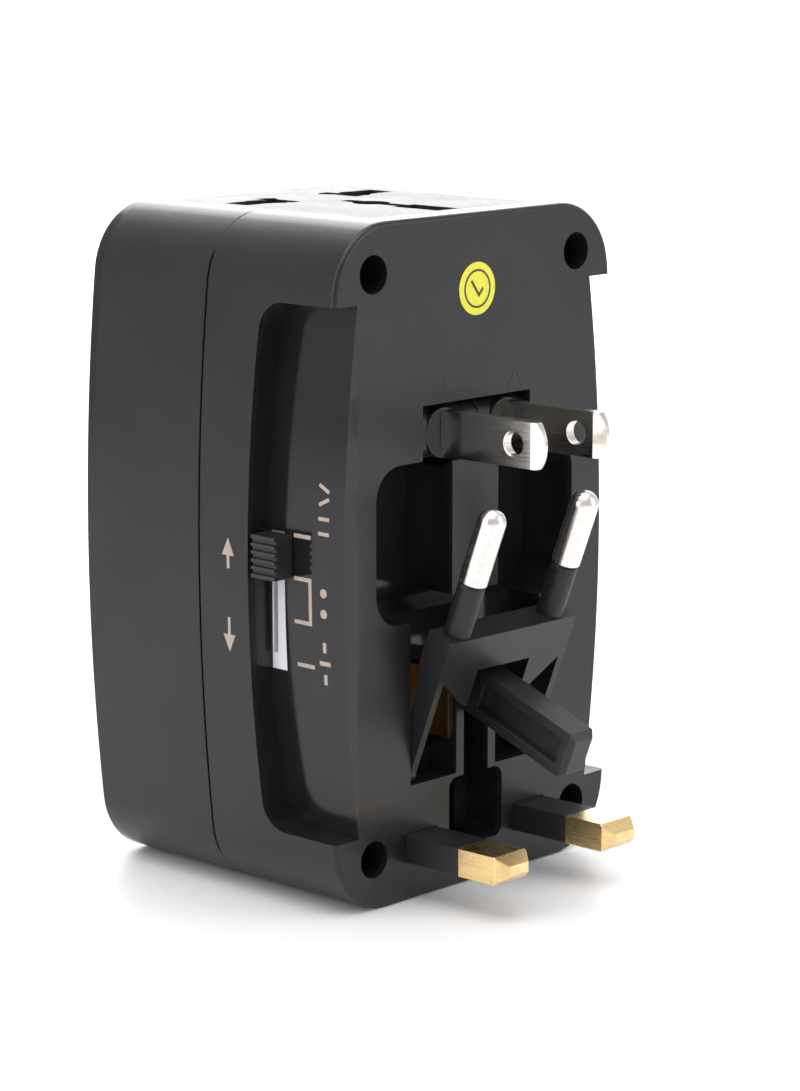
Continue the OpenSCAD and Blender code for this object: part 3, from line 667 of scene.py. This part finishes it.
def marks(name, loops, place, look, body="housing"):
    bm = slab(loops, place, 0)
    me = bpy.data.meshes.new(name)
    bm.to_mesh(me)
    bm.free()
    o = bpy.data.objects.new(name, me)
    bpy.context.scene.collection.objects.link(o)
    o.data.materials.append(M[look])
    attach(o, body)
    return o


rows = [
    (66.5, 1.7, [(-13.0, 4.4), (5.6, 16.2)]),
    (63.4, 0.5, [(-9.0, -3.2), (-2.2, 3.6), (4.6, 10.4)]),
    (60.4, 0.8, [(-8.0, -3.4), (-2.2, 8.6)]),
    (56.8, 0.8, [(-14.0, -8.6), (-7.2, -4.2), (-2.8, 1.6), (4.0, 10.4), (11.6, 13.4)]),
    (53.9, 0.8, [(-4.0, 5.2), (6.6, 13.6)]),
    (50.2, 0.8, [(-15.0, -7.4), (-6.0, -2.8), (-1.6, 1.6), (3.0, 15.0)]),
    (45.7, 0.6, [(-7.8, -2.6), (-1.6, 0.6), (1.6, 9.2)]),
]
marks("front_print_rows", [dash(a, b, z, h) for z, h, words in rows for a, b in words], on_front, "ink")
marks("front_print_ring", ring(-15.6, 66.5, 0.95, 1.3) + [disc(-15.6, 66.5, 0.4)], on_front, "ink")


def battery(cx, cz):
    w, h, t = 4.0, 1.5, 0.32
    body = [strip([(cx - w, cz - h), (cx + w, cz - h)], t), strip([(cx - w, cz + h), (cx + w, cz + h)], t),
            strip([(cx - w, cz - h + t / 2), (cx - w, cz + h - t / 2)], t),
            strip([(cx + w, cz - h + t / 2), (cx + w, cz + h - t / 2)], t),
            strip([(cx + w + 0.5, cz - 0.6), (cx + w + 0.5, cz + 0.6)], 0.5)]
    bars = [strip([(cx - 2.7 + k * 1.8, cz - 0.8), (cx - 2.7 + k * 1.8, cz + 0.8)], 0.9) for k in range(4)]
    return body + bars


marks("front_print_ports", battery(-11.0, 40.1) + battery(11.8, 40.1), on_front, "ink")

side = [
    strip([(14.5, 51.4), (17.6, 51.4)], 0.55),
    strip([(14.5, 45.6), (17.5, 45.6), (17.5, 39.7), (14.5, 39.7)], 0.55),
    strip([(14.8, 33.8), (18.0, 33.8)], 0.55),
]
for z in (52.2, 54.2):
    side.append(strip([(19.0, z), (21.0, z)], 0.5))
for t in (-1, 1):
    side.append(strip([(19.1, 57.4 + t * 1.35), (20.9, 57.4 + t * 0.45)], 0.5))
side += [disc(20.0, 41.4, 0.62), disc(20.0, 44.2, 0.62)]
side.append(strip([(19.0, 34.6), (21.0, 34.6)], 0.6))
for z in (32.4, 36.8):
    side.append(strip([(20.0, z - 0.7), (20.0, z + 0.7)], 0.6))
marks("side_print_positions", side, on_recess, "ink_side")
marks("side_print_arrow", [
    strip([(5.65, 36.6), (5.65, 48.5)], 0.5),
    [(4.5, 48.0), (6.8, 48.0), (5.65, 50.4)], [(5.65, 34.7), (6.8, 37.1), (4.5, 37.1)]], on_side, "ink_side")
marks("rear_marks", [
    strip([(6.57, 69.0), (6.57, 72.0)], 0.35),
    strip([(-6.3, 68.3), (-7.75, 71.1)], 0.35), strip([(-8.05, 71.1), (-9.5, 68.3)], 0.35)],
    on_rear, "satin")
marks("sticker_ring", ring(0.2, 82.9, 2.35, 2.65) + [strip([(-0.9, 82.9), (-0.1, 82.0), (1.4, 84.0)], 0.4)],
      lambda u, v, h: Vector((u, YR + 0.10 + 0.05 * h, v)) * MM, "ink_dark")


# ----------------------------------------------------------- floor, light, view
def floor_material():
    n = Nodes("floor_pale")
    cloud = n.noise(6, 2.0)
    fine = n.noise(900, 2.0)
    x, y, z = n.xyz()
    r = n.math("SQRT", n.math("ADD", n.math("MULTIPLY", x, x), n.math("MULTIPLY", y, y)))
    behind = n.math("ADD", n.math("MULTIPLY", x, -0.731), n.math("MULTIPLY", y, -0.682))
    glow = n.math("MULTIPLY", n.range(r, 0.3, 1.0, 0.0, 0.42),
                  n.range(n.math("DIVIDE", behind, n.math("MAXIMUM", r, 0.01)), 0.55, 0.9))
    return n.set(Base_Color=n.mix(n.range(cloud, 0.3, 0.7), (0.86, 0.86, 0.87), (0.88, 0.88, 0.885)),
                 Roughness=n.range(fine, 0.3, 0.7, 0.4, 0.46), Emission_Color=(0.98, 0.985, 1.0),
                 Emission_Strength=glow)


bm = bmesh.new()
path = [(0.4, 0.0), (1.4, 0.0)]
path += [(1.4 + 0.6 * math.sin(a), 0.6 - 0.6 * math.cos(a)) for a in [math.radians(k * 9) for k in range(1, 11)]]
path += [(2.0, 2.2)]
rings = [[bm.verts.new((r * math.cos(2 * math.pi * k / 64), r * math.sin(2 * math.pi * k / 64), z))
          for k in range(64)] for r, z in path]
centre = bm.verts.new((0, 0, 0))
for k in range(64):
    j = (k + 1) % 64
    bm.faces.new([centre, rings[0][k], rings[0][j]])
    for i in range(len(rings) - 1):
        bm.faces.new([rings[i][k], rings[i + 1][k], rings[i + 1][j], rings[i][j]])
me = bpy.data.meshes.new("floor")
bm.to_mesh(me)
bm.free()
for p in me.polygons:
    p.use_smooth = True
floor = bpy.data.objects.new("floor", me)
bpy.context.scene.collection.objects.link(floor)
me.materials.append(floor_material())
floor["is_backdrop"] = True

AZ, EL = math.radians(133.22), math.radians(11.03)
back = Vector((math.sin(AZ) * math.cos(EL), -math.cos(AZ) * math.cos(EL), math.sin(EL)))

now_lo, now_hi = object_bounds()
aim = (now_lo + now_hi) / 2 + Vector((0.0, -0.001, -0.001))
cam_data = bpy.data.cameras.new("camera")
cam = bpy.data.objects.new("camera", cam_data)
bpy.context.scene.collection.objects.link(cam)
cam_data.sensor_fit = "AUTO"
cam_data.sensor_width = 36
cam_data.lens = 112
cam_data.clip_start, cam_data.clip_end = 0.02, 20
cam.location = aim + back * 0.475
cam.rotation_mode = "QUATERNION"
cam.rotation_quaternion = (-back).to_track_quat("-Z", "Y")
bpy.context.scene.camera = cam


def area(name, direction, distance, size, power, color=(1, 1, 1), size_y=None):
    data = bpy.data.lights.new(name, "AREA")
    data.energy, data.color = power, color
    data.shape = "RECTANGLE"
    data.size, data.size_y = size, size_y or size
    o = bpy.data.objects.new(name, data)
    bpy.context.scene.collection.objects.link(o)
    d = Vector(direction).normalized()
    o.location = Vector((0, 0, 0.045)) + d * distance
    o.rotation_mode = "QUATERNION"
    o.rotation_quaternion = (-d).to_track_quat("-Z", "Y")
    return o


area("key_above", (0.2, 0.1, 1.0), 0.75, 0.8, 5.0)
area("left_of_view", (1.0, -0.15, 0.35), 0.7, 0.4, 1.6, size_y=0.6)
area("right_of_view", (-0.6, 1.0, 0.45), 0.8, 0.35, 1.8, size_y=0.5)
area("front_side", (-0.7, -1.0, 0.5), 0.8, 0.6, 2.2)

world = bpy.data.worlds.new("studio")
bpy.context.scene.world = world
world.use_nodes = True
wt = world.node_tree
wt.nodes.clear()
wo = wt.nodes.new("ShaderNodeOutputWorld")
wb = wt.nodes.new("ShaderNodeBackground")
wc = wt.nodes.new("ShaderNodeTexCoord")
ws = wt.nodes.new("ShaderNodeSeparateXYZ")
wr = wt.nodes.new("ShaderNodeMapRange")
wr.inputs["From Min"].default_value = -0.2
wr.inputs["From Max"].default_value = 0.9
wr.inputs["To Min"].default_value = 0.45
wr.inputs["To Max"].default_value = 0.75
wt.links.new(wc.outputs["Generated"], ws.inputs[0])
wt.links.new(ws.outputs["Z"], wr.inputs["Value"])
wb.inputs["Color"].default_value = (0.97, 0.98, 1.0, 1.0)
wt.links.new(wr.outputs[0], wb.inputs["Strength"])
wt.links.new(wb.outputs[0], wo.inputs[0])
bpy.context.scene.view_settings.view_transform = "Standard"

bpy.context.view_layer.update()
